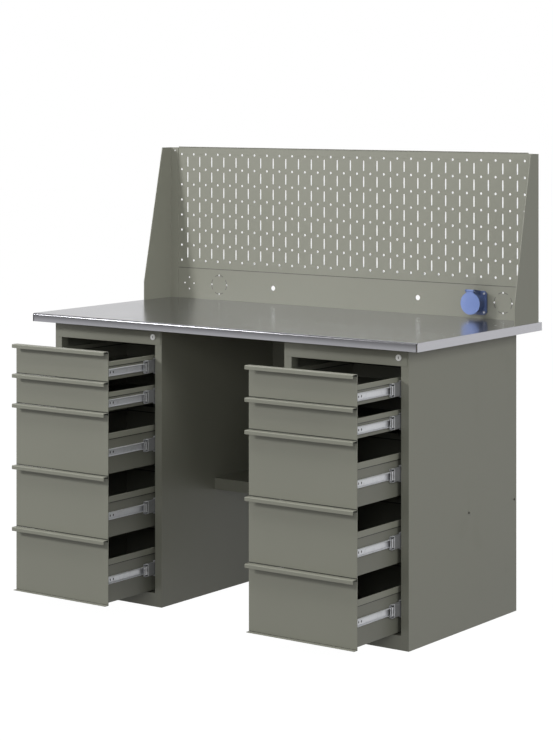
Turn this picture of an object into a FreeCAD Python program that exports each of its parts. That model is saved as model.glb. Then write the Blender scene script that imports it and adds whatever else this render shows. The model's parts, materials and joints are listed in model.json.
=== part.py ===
# Workbench with two drawer pedestals and a perforated tool screen.
# Millimetres, +Z up, +X to the user's right, +Y to the back.
# The origin is on the floor, at the middle of the bench with its drawers pulled out as they rest.
import FreeCAD, Part
import math
import os
import re
import Sketcher

VECTOR = FreeCAD.Vector

# Driving dimensions
SIZES = {
    # worktop
    "worktop_width": 1400,
    "worktop_depth": 684,
    "worktop_thickness": 25,
    "cover_wall": 1.5,
    "cover_bend": 6,
    "corner_kerf": 1.2,
    "front_overhang": 43,
    "side_overhang": 55,
    # pedestals
    "pedestal_width": 420,
    "pedestal_depth": 586,
    "cabinet_wall": 1.2,
    "post_width": 25,
    "post_depth": 30,
    "rear_post_setback": 465,
    "plinth_height": 40,
    "head_height": 47,
    "head_inset": 4,
    "head_corner": 6,
    "post_lap": 8,
    # drawer fronts
    "drawer_opening": 208,
    "front_gap": 1.5,
    "front_clearance": 1,
    "front_side_clearance": 5,
    "front_wall": 1.2,
    "front_return": 2.5,
    "pull_reach": 20,
    "pull_drop": 11,
    "pull_bend": 2.5,
    "toe_reach": 13,
    "small_front": 87.5,
    "large_front": 182.5,
    "bottom_front": 190,
    # drawer boxes
    "box_wall": 1,
    "box_length": 500,
    "small_box": 54,
    "large_box": 118,
    "bottom_box": 127,
    "small_raise": 3.5,
    "large_raise": 4.5,
    "bottom_raise": 6,
    "small_hem": 13.5,
    "large_hem": 17,
    "hem_proud": 2,
    "hem_bevel": 1,
    # ball-bearing slides
    "slide_length": 500,
    "slide_space": 12.7,
    "slide_wall": 1.2,
    "slide_setback": 3,
    "slide_height": 45.7,
    "middle_height": 36,
    "inner_height": 22,
    "middle_length": 400,
    "middle_setback": 50,
    "race_clearance": 0.3,
    "outer_reach": 9.5,
    "middle_stand": 2.4,
    "middle_reach": 10.9,
    "inner_reach": 7.7,
    "small_slide_rise": 22,
    "large_slide_rise": 62,
    "bottom_slide_rise": 66,
    # locks
    "lock_inset": 32,
    "lock_drop": 24,
    "barrel_diameter": 16,
    "barrel_length": 27,
    "barrel_head": 18,
    "barrel_head_height": 2,
    "barrel_clearance": 0.1,
    "nut_flats": 21,
    "nut_height": 5,
    "plug_diameter": 11,
    "plug_clearance": 0.05,
    "key_slot_width": 1.6,
    "key_slot_height": 7,
    "key_slot_depth": 8,
    "cam_radius": 12,
    "cam_width": 9,
    "cam_wall": 2.5,
    "cam_pin": 4,
    "bar_wall": 2,
    "bar_gap": 0.5,
    "bar_width": 12,
    "bar_offset": 2.5,
    "bar_slot_clearance": 0.6,
    "bar_top_margin": 4,
    "hook_reach": 10,
    "hook_height": 6,
    "hook_gap": 2,
    # tool screen
    "screen_setback": 14.5,
    "screen_wall": 1.2,
    "screen_side_inset": 10,
    "cable_panel_height": 100,
    "perforated_height": 400,
    "panel_split": 0.4,
    "hole_pitch": 50,
    "hole_columns": 27,
    "hole_rows": 8,
    "peg_hole": 6,
    "slot_length": 32.5,
    "slot_width": 5,
    "top_fold_depth": 14,
    "top_fold_inset": 43,
    "foot_flange": 12,
    # screen brackets
    "bracket_wall": 2,
    "bracket_inset": 3,
    "bracket_flange": 33,
    "bracket_foot": 140,
    "bracket_top": 46,
    "bracket_upright": 60,
    "bracket_shortfall": 3,
    "bracket_hole": 6,
    "bracket_hole_drop": 10,
    "bracket_hole_inset": 18,
    # cable panel openings
    "outlet_rise": 50,
    "cable_hole": 16,
    "cable_hole_offset": 275,
    "small_hole": 5,
    "cluster_offset": 618,
    "cluster_circle": 38,
    "knockout_left": 494,
    "knockout_right": 576,
    "knockout_circle": 61,
    "knockout_turn": 0,
    # power socket
    "socket_offset": 486,
    "socket_rise": 47,
    "socket_flange": 72,
    "socket_flange_wall": 5,
    "socket_corner": 8,
    "socket_collar": 60,
    "socket_depth": 38,
    "socket_rear": 50,
    "socket_rear_depth": 14,
    "socket_hole_clearance": 1,
    "socket_bore": 42,
    "socket_bore_depth": 22,
    "contact_pitch": 19,
    "contact_hole": 5,
    "contact_depth": 16,
    "socket_screw_pitch": 56,
    "lid_diameter": 67,
    "lid_wall": 4,
    "lid_facet_width": 22,
    "lid_facet_fall": 2,
    "lid_gap": 0.3,
    "lid_tab_width": 23,
    "hinge_rise": 38,
    "hinge_pin": 3,
    "hinge_knuckle": 7,
    "hinge_clearance": 0.05,
    "hinge_ear": 4,
    "hinge_side_gap": 0.3,
    # shelf and back panel of the knee space
    "shelf_height": 349,
    "shelf_apron": 35,
    "shelf_setback": 257,
    "shelf_bolt_drop": 19,
    "shelf_bolt_front": 60,
    "shelf_bolt_rear": 12,
    "back_panel_setback": 557,
    "back_panel_flange": 15,
    # fastenings
    "bolt_hole": 7,
    "bolt_shank": 6,
    "bolt_head": 10,
    "bolt_head_height": 4,
    "bolt_tail": 8,
    "screw_shank": 4,
    "screw_head": 7,
    "screw_head_height": 2.4,
    "screw_tail": 8,
    "screw_clearance": 0.2,
    "foot_screw_count": 5,
    "foot_screw_inset": 60,
}

# Places and lengths that follow from the driving dimensions
PLACES = {
    "front_plane": "(drawer_opening + pull_reach + front_overhang - worktop_depth) / 2",
    "drawers_height": "2 * small_front + 2 * large_front + bottom_front + 4 * front_gap",
    "opening_top": "plinth_height + drawers_height + 2 * front_clearance",
    "pedestal_height": "opening_top + head_height",
    "worktop_height": "pedestal_height + worktop_thickness",
    "worktop_front": "front_plane - front_overhang",
    "worktop_back": "worktop_front + worktop_depth",
    "pedestal_middle": "worktop_width / 2 - side_overhang - pedestal_width / 2",
    "knee_half": "pedestal_middle - pedestal_width / 2",
    "opening_half": "pedestal_width / 2 - post_width",
    "front_half": "opening_half - front_side_clearance",
    "box_half": "opening_half - slide_space",
    "drawer_plane": "front_plane - drawer_opening",
    "middle_plane": "front_plane - drawer_opening / 2",
    "screen_plane": "worktop_back - screen_setback",
    "screen_half": "worktop_width / 2 - screen_side_inset",
    "split_height": "worktop_height + cable_panel_height",
    "socket_height": "worktop_height + socket_rise",
    "lock_x": "pedestal_width / 2 - lock_inset",
    "lock_z": "pedestal_height - lock_drop",
    "plate_front": "front_plane - cabinet_wall",
    "barrel_end": "front_plane + barrel_length",
    "cam_end": "barrel_end + race_clearance + cam_wall",
    "bar_front": "cam_end + bar_gap",
    "pin_half_rise": "cam_radius * sqrt(0.5)",
    "bar_inner": "opening_half + bar_offset",
    "lid_plane": "screen_plane - socket_depth",
    "hinge_z": "socket_height + hinge_rise",
    "hinge_y": "lid_plane - lid_gap - lid_wall / 2",
}

# The drawers of a pedestal from the bottom up: number from the top, front, box, raise, hem, slide rise
DRAWERS = [
    (5, "bottom_front", "bottom_box", "bottom_raise", "large_hem", "bottom_slide_rise"),
    (4, "large_front", "large_box", "large_raise", "large_hem", "large_slide_rise"),
    (3, "large_front", "large_box", "large_raise", "large_hem", "large_slide_rise"),
    (2, "small_front", "small_box", "small_raise", "small_hem", "small_slide_rise"),
    (1, "small_front", "small_box", "small_raise", "small_hem", "small_slide_rise"),
]
SIDES = [("left", -1), ("right", 1)]

# Every pocket, so that each is seen at the end to have taken something away
POCKETS = []

doc = FreeCAD.newDocument("Workbench")
sheet = doc.addObject("Spreadsheet::Sheet", "Sizes")
for row, (alias, number) in enumerate(SIZES.items(), start=1):
    sheet.set(f"A{row}", alias)
    sheet.set(f"B{row}", str(number))
    sheet.setAlias(f"B{row}", alias)
doc.recompute()


def linked(expression):
    """The expression with each size and place name pointing at the object that holds it."""
    def link(found):
        word = found.group(0)
        if word in SIZES:
            return "Sizes." + word
        return "Places." + word if word in PLACES else word
    return re.sub(r"[a-z][a-z_0-9]*", link, str(expression))


# A drawer's front stands on the one below it, and its box and slides are set out from it.
level = "plinth_height + front_clearance"
for number, front, box, rise, hem, slide_rise in DRAWERS:
    PLACES[f"front_base_{number}"] = level
    PLACES[f"box_base_{number}"] = f"front_base_{number} + {rise}"
    PLACES[f"slide_axis_{number}"] = f"box_base_{number} + {slide_rise}"
    level = f"front_base_{number} + {front} + front_gap"

places = doc.addObject("App::VarSet", "Places")
for name in PLACES:
    places.addProperty("App::PropertyFloat", name, "Places")
for name, expression in PLACES.items():
    places.setExpression(name, linked(expression))
doc.recompute()


def value(expression):
    return float(places.evalExpression(linked(expression)))


def size(alias):
    return float(sheet.get(alias))


def place(item, x="0", y="0", z="0"):
    for axis, expression in (("x", x), ("y", y), ("z", z)):
        item.setExpression(f"Placement.Base.{axis}", linked(expression))


def new_body(label, x="0", y="0", z="0"):
    body = doc.addObject("PartDesign::Body", label)
    body.Label = label
    body.AllowCompound = True
    place(body, x, y, z)
    return body


def new_sketch(body, role, offset="0"):
    sketch = body.newObject("Sketcher::SketchObject", body.Name + "_outline")
    plane = [item for item in body.Origin.OriginFeatures if item.Role == role][0]
    sketch.AttachmentSupport = [(plane, "")]
    sketch.MapMode = "FlatFace"
    sketch.setExpression("AttachmentOffset.Base.z", linked(offset))
    return sketch


def pinned(edge, end, point):
    """The two constraints that hold one end of an edge at a point, each with its expression."""
    kinds = zip(("DistanceX", "DistanceY"), point)
    return [(Sketcher.Constraint(kind, -1, 1, edge, end, value(place)), place) for kind, place in kinds]


def add_constraints(sketch, constraints):
    first = sketch.ConstraintCount
    sketch.addConstraint([constraint for constraint, expression in constraints])
    for index, (constraint, expression) in enumerate(constraints, start=first):
        if expression is not None:
            sketch.setExpression(f"Constraints[{index}]", linked(expression))


def at(point):
    return VECTOR(value(point[0]), value(point[1]), 0)


def rounded(before, corner, after):
    """Where a round corner between level and upright lines starts, its centre and where it ends."""
    x, y, radius = corner
    toward = [at(before) - at(corner), at(after) - at(corner)]
    level = 0 if abs(toward[0].x) > abs(toward[1].x) else 1
    across = f"{x} {'+' if toward[level].x > 0 else '-'} {radius}"
    along = f"{y} {'+' if toward[1 - level].y > 0 else '-'} {radius}"
    ends = [(across, y), (x, along)]
    return ends[level], (across, along), ends[1 - level]


def outline(sketch, points):
    """A closed outline. A point is (x, y), or (x, y, radius) for a rounded corner; all are expressions."""
    corners = []
    for index, point in enumerate(points):
        if len(point) == 3:
            corners.append(rounded(points[index - 1], point, points[(index + 1) % len(points)]))
        else:
            corners.append((point,))
    edges = []
    for index, corner in enumerate(corners):
        if len(corner) == 3:
            edges.append(add_bend(sketch, *corner))
        following = corners[(index + 1) % len(corners)]
        line = sketch.addGeometry(Part.LineSegment(at(corner[-1]), at(following[0])), False)
        edges.append((line, 1, 2, pinned(line, 1, corner[-1])))
    constraints = []
    for index, (edge, start, stop, pins) in enumerate(edges):
        follower = edges[(index + 1) % len(edges)]
        constraints += pins
        constraints.append((Sketcher.Constraint("Coincident", edge, stop, follower[0], follower[1]), None))
    add_constraints(sketch, constraints)


def add_bend(sketch, start, centre, end):
    """A quarter circle, held at its start and by its centre, which lies level with one of its ends."""
    middle = at(centre)
    spokes = [at(start) - middle, at(end) - middle]
    leftwards = spokes[0].cross(spokes[1]).z > 0
    spoke = spokes[0] if leftwards else spokes[1]
    angle = math.atan2(spoke.y, spoke.x)
    full = Part.Circle(middle, VECTOR(0, 0, 1), spoke.Length)
    edge = sketch.addGeometry(Part.ArcOfCircle(full, angle, angle + math.pi / 2), False)
    first, last = (1, 2) if leftwards else (2, 1)
    return edge, first, last, pinned(edge, first, start) + pinned(edge, 3, centre)[:1]


def circle(sketch, x, y, diameter):
    radius = value(diameter) / 2
    edge = sketch.addGeometry(Part.Circle(at((x, y)), VECTOR(0, 0, 1), radius), False)
    held = (Sketcher.Constraint("Radius", edge, radius), f"{diameter} / 2")
    add_constraints(sketch, pinned(edge, 3, (x, y)) + [held])


def faceted_bar(sketch, x, y, diameter, corners):
    """A round bar or head with flat sides: its corners lie on the circle."""
    points = []
    for corner in range(corners):
        turn = 360 / corners * (corner + 0.5)
        points.append((f"{x} + {diameter} / 2 * cos({turn})", f"{y} + {diameter} / 2 * sin({turn})"))
    outline(sketch, points)


def faceted_hole(sketch, x, y, diameter, corners):
    """A round hole with flat sides: the sides touch the circle, so a bar of that diameter goes in."""
    faceted_bar(sketch, x, y, f"({diameter}) / cos({180 / corners})", corners)


def rectangle(sketch, left, low, right, high):
    outline(sketch, [(left, low), (right, low), (right, high), (left, high)])


def pad(body, sketch, length, backwards=False):
    feature = body.newObject("PartDesign::Pad", body.Name + "_pad")
    feature.Profile = sketch
    feature.setExpression("Length", linked(length))
    feature.Reversed = backwards
    body.Tip = feature


def pocket(body, sketch, length, backwards=False):
    feature = body.newObject("PartDesign::Pocket", body.Name + "_pocket")
    feature.Profile = sketch
    feature.setExpression("Length", linked(length))
    feature.Reversed = backwards
    body.Tip = feature
    POCKETS.append(feature)


def mirrored(points):
    """Points on the other side of the YZ plane, in the order that keeps an outline closed."""
    return [(f"-({point[0]})",) + tuple(point[1:]) for point in reversed(points)]


def group(label, members):
    joined = doc.addObject("Part::Compound", label)
    joined.Label = label
    joined.Links = members
    return joined


# Worktop: a board under a folded steel cover with a rounded front edge
def worktop_board():
    body = new_body("worktop_board", y="worktop_front", z="pedestal_height")
    sketch = new_sketch(body, "YZ_Plane", "cover_wall - worktop_width / 2")
    top = "worktop_thickness - cover_wall"
    back = "worktop_depth - cover_wall"
    outline(sketch, [("cover_wall", "0"), (back, "0"), (back, top),
                     ("cover_wall", top, "(cover_bend - cover_wall)")])
    pad(body, sketch, "worktop_width - 2 * cover_wall")
    return body


def worktop_cover():
    body = new_body("worktop_cover", y="worktop_front", z="pedestal_height")
    sketch = new_sketch(body, "YZ_Plane", "-worktop_width / 2")
    inside_top = "worktop_thickness - cover_wall"
    inside_back = "worktop_depth - cover_wall"
    outline(sketch, [
        ("0", "0"), ("0", "worktop_thickness", "cover_bend"), ("worktop_depth", "worktop_thickness"),
        ("worktop_depth", "0"), (inside_back, "0"), (inside_back, inside_top),
        ("cover_wall", inside_top, "(cover_bend - cover_wall)"), ("cover_wall", "0"),
    ])
    pad(body, sketch, "worktop_width")
    for edge in ("-worktop_width / 2", "worktop_width / 2 - cover_wall"):
        side = new_sketch(body, "YZ_Plane", edge)
        outline(side, [("0", "0"), ("worktop_depth", "0"), ("worktop_depth", "worktop_thickness"),
                       ("0", "worktop_thickness", "cover_bend")])
        pad(body, side, "cover_wall")
    kerfs = new_sketch(body, "XY_Plane")
    inner = "(worktop_width / 2 - cover_wall - corner_kerf)"
    outer = "(worktop_width / 2 - cover_wall)"
    rectangle(kerfs, inner, "-cover_wall", outer, "cover_wall")
    rectangle(kerfs, f"-{outer}", "-cover_wall", f"-{inner}", "cover_wall")
    pocket(body, kerfs, "worktop_thickness - cover_bend", backwards=True)
    return body


# Pedestal shell: one wrap of sheet with front posts, and welded channels that carry the slides' rear ends
def cabinet_shell(side, sign):
    body = new_body(f"{side}_cabinet_shell", x=f"{sign} * pedestal_middle", y="front_plane")
    half, wall, deep = "pedestal_width / 2", "cabinet_wall", "pedestal_depth"
    wrap = new_sketch(body, "XY_Plane")
    skin, liner = f"{half} - {wall}", f"opening_half + {wall}"
    right = [
        (skin, f"{deep} - {wall}"), (skin, wall), (liner, wall), (liner, "post_depth"),
        ("opening_half", "post_depth"), ("opening_half", "0"), (half, "0"), (half, deep),
    ]
    outline(wrap, right + mirrored(right))
    front, back = "rear_post_setback", "rear_post_setback + post_depth"
    channel = [
        (skin, front), ("opening_half", front), ("opening_half", back), (skin, back),
        (skin, f"{back} - {wall}"), (liner, f"{back} - {wall}"), (liner, f"{front} + {wall}"),
        (skin, f"{front} + {wall}"),
    ]
    pad(body, wrap, "pedestal_height - cabinet_wall")
    channels = new_sketch(body, "XY_Plane")
    outline(channels, channel)
    outline(channels, mirrored(channel))
    pad(body, channels, "pedestal_height - cabinet_wall")
    notch = new_sketch(body, "XY_Plane", "opening_top + post_lap")
    inner, outer = f"opening_half - {wall}", "opening_half + post_width / 2"
    near, far = f"-{wall}", f"post_depth + {wall}"
    reach = [(inner, near), (outer, near), (outer, far), (inner, far)]
    outline(notch, reach)
    outline(notch, mirrored(reach))
    pocket(body, notch, "head_height", backwards=True)
    holes = new_sketch(body, "YZ_Plane", "-pedestal_width")
    for along in ("shelf_setback + shelf_bolt_front", "pedestal_depth - shelf_bolt_rear"):
        faceted_hole(holes, along, "shelf_height - shelf_bolt_drop", "bolt_hole", 6)
    pocket(body, holes, "2 * pedestal_width", backwards=True)
    return body


def cabinet_base(side, sign):
    body = new_body(f"{side}_cabinet_base", x=f"{sign} * pedestal_middle", y="front_plane")
    sketch = new_sketch(body, "YZ_Plane", "-opening_half")
    back = "pedestal_depth - cabinet_wall"
    outline(sketch, [
        ("0", "0"), ("0", "plinth_height"), (back, "plinth_height"), (back, "0"),
        (f"{back} - cabinet_wall", "0"), (f"{back} - cabinet_wall", "plinth_height - cabinet_wall"),
        ("cabinet_wall", "plinth_height - cabinet_wall"), ("cabinet_wall", "0"),
    ])
    pad(body, sketch, "2 * opening_half")
    return body


def cabinet_head(side, sign):
    body = new_body(f"{side}_cabinet_head", x=f"{sign} * pedestal_middle", y="front_plane")
    roof = new_sketch(body, "XY_Plane", "pedestal_height - cabinet_wall")
    rectangle(roof, "-pedestal_width / 2", "-cabinet_wall", "pedestal_width / 2", "pedestal_depth")
    pad(body, roof, "cabinet_wall")
    plate = new_sketch(body, "XZ_Plane")
    edge = "(pedestal_width / 2 - head_inset)"
    outline(plate, [
        (f"-{edge}", "opening_top", "head_corner"), (edge, "opening_top", "head_corner"),
        (edge, "pedestal_height"), (f"-{edge}", "pedestal_height"),
    ])
    pad(body, plate, "cabinet_wall")
    hole = new_sketch(body, "XZ_Plane", "2 * cabinet_wall")
    faceted_hole(hole, "lock_x", "lock_z", "(barrel_diameter + 2 * barrel_clearance)", 12)
    pocket(body, hole, "3 * cabinet_wall")
    return body


# Locks: barrel with its nut in the head plate, turning plug with a cam, and the bar that the cam lifts
def lock_barrel(side, sign):
    body = new_body(f"{side}_lock_barrel", x=f"{sign} * pedestal_middle")
    head = new_sketch(body, "XZ_Plane", "-plate_front")
    faceted_bar(head, "lock_x", "lock_z", "barrel_head", 12)
    pad(body, head, "barrel_head_height")
    tube = new_sketch(body, "XZ_Plane", "-plate_front")
    faceted_bar(tube, "lock_x", "lock_z", "barrel_diameter", 12)
    pad(body, tube, "barrel_end - plate_front", backwards=True)
    nut = new_sketch(body, "XZ_Plane", "-front_plane")
    faceted_hole(nut, "lock_x", "lock_z", "nut_flats", 6)
    pad(body, nut, "nut_height", backwards=True)
    bore = new_sketch(body, "XZ_Plane", "-plate_front + 2 * barrel_head_height")
    faceted_hole(bore, "lock_x", "lock_z", "(plug_diameter + 2 * plug_clearance)", 12)
    pocket(body, bore, "barrel_end - plate_front + 4 * barrel_head_height")
    return body


def lock_plug(side, sign):
    body = new_body(f"{side}_lock_plug", x=f"{sign} * pedestal_middle")
    face = "-plate_front + barrel_head_height"
    plug = new_sketch(body, "XZ_Plane", face)
    circle(plug, "lock_x", "lock_z", "plug_diameter")
    pad(body, plug, "cam_end - plate_front + barrel_head_height", backwards=True)
    cam = new_sketch(body, "XZ_Plane", "-cam_end")
    across = "cam_width / 2 * sqrt(0.5)"
    reach = "(pin_half_rise + cam_width / 4)"
    outline(cam, [
        (f"lock_x - {across}", f"lock_z - {across}"),
        (f"lock_x + {reach} - {across}", f"lock_z - {reach} - {across}"),
        (f"lock_x + {reach} + {across}", f"lock_z - {reach} + {across}"),
        (f"lock_x + {across}", f"lock_z + {across}"),
    ])
    pad(body, cam, "cam_wall")
    pin = new_sketch(body, "XZ_Plane", "-cam_end")
    faceted_bar(pin, "lock_x + pin_half_rise", "lock_z - pin_half_rise", "cam_pin", 8)
    pad(body, pin, "bar_gap + bar_wall + bar_gap", backwards=True)
    key = new_sketch(body, "XZ_Plane", face)
    rectangle(key, "lock_x - key_slot_width / 2", "lock_z - key_slot_height / 2",
              "lock_x + key_slot_width / 2", "lock_z + key_slot_height / 2")
    pocket(body, key, "key_slot_depth")
    return body


# A strip with a slotted yoke for the cam's pin on top, and a hook for each drawer welded to its edge
def lock_bar(side, sign):
    foot = f"slide_axis_{DRAWERS[0][0]} + slide_height / 2"
    slot_low = "lock_z - pin_half_rise - cam_pin / 2 - bar_slot_clearance"
    slot_high = "lock_z - pin_half_rise + cam_pin / 2 + bar_slot_clearance"
    slot_left = "lock_x + pin_half_rise - cam_pin / 2 - bar_slot_clearance"
    slot_right = "lock_x + cam_radius + cam_pin / 2 + bar_slot_clearance"
    left, right = f"{slot_left} - bar_top_margin", "bar_inner + bar_width"
    shoulder, top = f"{slot_low} - bar_top_margin", f"{slot_high} + bar_top_margin"
    yoke = bar_plate(f"{side}_lock_yoke", sign, left, shoulder, right, top)
    slot = new_sketch(yoke, "XZ_Plane", "-bar_front + bar_wall")
    rectangle(slot, slot_left, slot_low, slot_right, slot_high)
    pocket(yoke, slot, "3 * bar_wall")
    plates = [yoke, bar_plate(f"{side}_lock_strip", sign, "bar_inner", foot, right, shoulder)]
    for number, *_ in DRAWERS:
        low = f"slide_axis_{number} + slide_height / 2 + hook_gap"
        tip = "opening_half - hook_reach"
        name = f"{side}_lock_hook_{number}"
        plates.append(bar_plate(name, sign, tip, low, "bar_inner", f"{low} + hook_height"))
    return group(f"{side}_lock_bar", plates)


def bar_plate(name, sign, left, low, right, high):
    body = new_body(name, x=f"{sign} * pedestal_middle")
    sketch = new_sketch(body, "XZ_Plane", "-bar_front")
    rectangle(sketch, left, low, right, high)
    pad(body, sketch, "bar_wall", backwards=True)
    return body


# Drawers: folded front with a pull lip along its top, tray with hemmed sides, and ball-bearing slides
def drawer_front(side, sign, number, height):
    body = new_body(f"{side}_drawer_{number}_front", x=f"{sign} * pedestal_middle", y="drawer_plane",
                    z=f"front_base_{number}")
    section = new_sketch(body, "YZ_Plane", "-front_half")
    under = f"{height} - front_wall"
    points = [
        ("front_wall", "0"), ("0", "0"), ("0", under), ("front_wall - pull_reach", under),
        ("front_wall - pull_reach", f"{height} - pull_drop"), ("-pull_reach", f"{height} - pull_drop"),
        ("-pull_reach", height, "pull_bend"), ("front_wall", height),
    ]
    outline(section, points)
    pad(body, section, "2 * front_half")
    returns = new_sketch(body, "XY_Plane")
    rectangle(returns, "front_half - front_wall", "0", "front_half", "front_return")
    rectangle(returns, "-front_half", "0", "front_wall - front_half", "front_return")
    pad(body, returns, under)
    if number == DRAWERS[0][0]:
        toe = new_sketch(body, "YZ_Plane", "-front_half")
        rectangle(toe, "-toe_reach", "0", "0", "front_wall")
        pad(body, toe, "2 * front_half")
    return body


def drawer_box(side, sign, number, height, hem):
    label = f"{side}_drawer_{number}_box"
    body = new_body(label, f"{sign} * pedestal_middle", "drawer_plane + front_wall", f"box_base_{number}")
    tray = new_sketch(body, "XZ_Plane")
    inner, outer, shoulder = "box_half - box_wall", "box_half + hem_proud", f"{height} - hem_bevel"
    right = [
        ("box_half", "0"), ("box_half", f"{height} - {hem}"), (outer, f"{height} - {hem}"),
        (outer, shoulder), (f"{outer} - hem_bevel", height), (f"{inner} + hem_bevel", height),
        (inner, shoulder), (inner, "box_wall"),
    ]
    outline(tray, right + mirrored(right))
    pad(body, tray, "box_length", backwards=True)
    for start in ("0", "box_wall - box_length"):
        wall = new_sketch(body, "XZ_Plane", start)
        rectangle(wall, "-box_half", "0", "box_half", shoulder)
        pad(body, wall, "box_wall", backwards=True)
    return body


def slide_member(label, points, place_of, plane, length):
    """A pair of C sections, one at each side of a drawer."""
    sign, number = place_of
    body = new_body(label, f"{sign} * pedestal_middle", plane, f"slide_axis_{number}")
    section = new_sketch(body, "XZ_Plane")
    outline(section, points)
    outline(section, mirrored(points))
    pad(body, section, length, backwards=True)
    return body


def c_section(back, wall, tip, half, lip):
    """A C that opens towards the drawer, with lips at its tips down to a height above the axis."""
    inside = f"({half} - {wall})"
    edge, web = f"{tip} + {wall}", f"{back} - {wall}"
    return [
        (back, f"-{half}"), (back, half), (tip, half), (tip, lip), (edge, lip), (edge, inside),
        (web, inside), (web, f"-{inside}"), (edge, f"-{inside}"), (edge, f"-{lip}"), (tip, f"-{lip}"),
        (tip, f"-{half}"),
    ]


def slide_outer(side, sign, number):
    points = c_section("opening_half", "slide_wall", "opening_half - outer_reach", "slide_height / 2",
                       "(middle_height / 2 + race_clearance)")
    label = f"{side}_rail_{number}"
    return slide_member(label, points, (sign, number), "front_plane + slide_setback", "slide_length")


def slide_middle(side, sign, number):
    points = c_section("(opening_half - middle_stand)", "slide_wall", "opening_half - middle_reach",
                       "middle_height / 2", "(inner_height / 2 + race_clearance)")
    label = f"{side}_drawer_{number}_slides"
    return slide_member(label, points, (sign, number), "middle_plane + middle_setback", "middle_length")


def slide_inner(side, sign, number):
    tip, root = "box_half + inner_reach", "box_half + slide_wall"
    half, inside = "inner_height / 2", "(inner_height / 2 - slide_wall)"
    points = [
        ("box_half", f"-{half}"), (tip, f"-{half}"), (tip, f"-{inside}"), (root, f"-{inside}"),
        (root, inside), (tip, inside), (tip, half), ("box_half", half),
    ]
    label = f"{side}_drawer_{number}_runners"
    return slide_member(label, points, (sign, number), "drawer_plane + slide_setback", "slide_length")


# Screen: sloped side brackets, perforated panel above, cable panel below
def screen_bracket(side, sign):
    body = new_body(f"{side}_screen_bracket", y="screen_plane", z="worktop_height")
    high = "(cable_panel_height + perforated_height - bracket_shortfall)"
    outer = "(worktop_width / 2 - bracket_inset)"
    plate_start = f"{outer} - bracket_wall" if sign > 0 else f"-{outer}"
    plate = new_sketch(body, "YZ_Plane", plate_start)
    outline(plate, [("-bracket_foot", "0"), ("0", "0"), ("0", high), ("-bracket_top", high),
                    ("-bracket_foot", "bracket_upright")])
    pad(body, plate, "bracket_wall")
    flange = new_sketch(body, "XZ_Plane")
    low, far = f"{sign} * ({outer} - bracket_flange)", f"{sign} * {outer}"
    if sign > 0:
        rectangle(flange, low, "0", far, high)
    else:
        rectangle(flange, far, "0", low, high)
    pad(body, flange, "bracket_wall")
    hole = new_sketch(body, "XZ_Plane", "2 * bracket_wall")
    faceted_hole(hole, f"{sign} * ({outer} - bracket_hole_inset)", f"{high} - bracket_hole_drop",
                 "bracket_hole", 6)
    pocket(body, hole, "3 * bracket_wall")
    return body


def perforated_panel():
    """A sheet with rows of peg holes and, between them, upright slots, folded forward along its top."""
    wall = size("screen_wall")
    half = value("screen_half")
    height = size("perforated_height") - size("panel_split")
    pitch = size("hole_pitch")
    columns = int(size("hole_columns"))
    rows = int(size("hole_rows"))
    lowest = pitch / 2 - size("panel_split")

    def wire(points):
        return Part.makePolygon([VECTOR(x, 0, z) for x, z in points + points[:1]])

    def box_wire(x, z, half_width, half_height):
        return wire([(x - half_width, z - half_height), (x + half_width, z - half_height),
                     (x + half_width, z + half_height), (x - half_width, z + half_height)])

    def hole_wire(x, z, diameter, corners):
        # as large in area as the round hole
        share = 2 * math.pi / corners
        radius = diameter / 2 * math.sqrt(share / math.sin(share))
        turns = [share * corner for corner in range(corners)]
        return wire([(x + radius * math.cos(turn), z + radius * math.sin(turn)) for turn in turns])

    # the sheet's top corners stop at the brackets' tops, beside the fold
    fold_half = value("worktop_width / 2 - top_fold_inset")
    shoulder = height - size("bracket_shortfall")
    edge = [(half, 0), (half, shoulder), (fold_half, shoulder), (fold_half, height)]
    wires = [wire(edge + [(-x, z) for x, z in reversed(edge)])]
    for column in range(columns):
        x = (column - (columns - 1) / 2) * pitch
        for row in range(rows):
            wires.append(hole_wire(x, lowest + row * pitch, size("peg_hole"), 4))
    for column in range(columns - 1):
        x = (column - (columns - 2) / 2) * pitch
        for row in range(rows - 1):
            z = lowest + (row + 0.5) * pitch
            wires.append(box_wire(x, z, size("slot_width") / 2, size("slot_length") / 2))
    bolt_x = value("worktop_width / 2 - bracket_inset - bracket_hole_inset")
    bolt_z = height - value("bracket_shortfall + bracket_hole_drop")
    for x in (-bolt_x, bolt_x):
        wires.append(hole_wire(x, bolt_z, size("bracket_hole"), 6))
    plate = Part.Face(wires, "Part::FaceMakerBullseye").extrude(VECTOR(0, wall, 0))
    fold_depth = size("top_fold_depth")
    fold = Part.makeBox(2 * fold_half, fold_depth, wall, VECTOR(-fold_half, -fold_depth, height - wall))
    panel = doc.addObject("Part::Feature", "perforated_panel")
    panel.Label = "perforated_panel"
    panel.Shape = plate.fuse(fold)
    place(panel, y="screen_plane", z="split_height + panel_split")
    return panel


def screw_places(x, z):
    """The four screws of the socket, about its middle."""
    reach = "socket_screw_pitch / 2"
    return [(f"{x} + {across} * {reach}", f"{z} + {up} * {reach}") for across in (-1, 1) for up in (-1, 1)]


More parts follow.
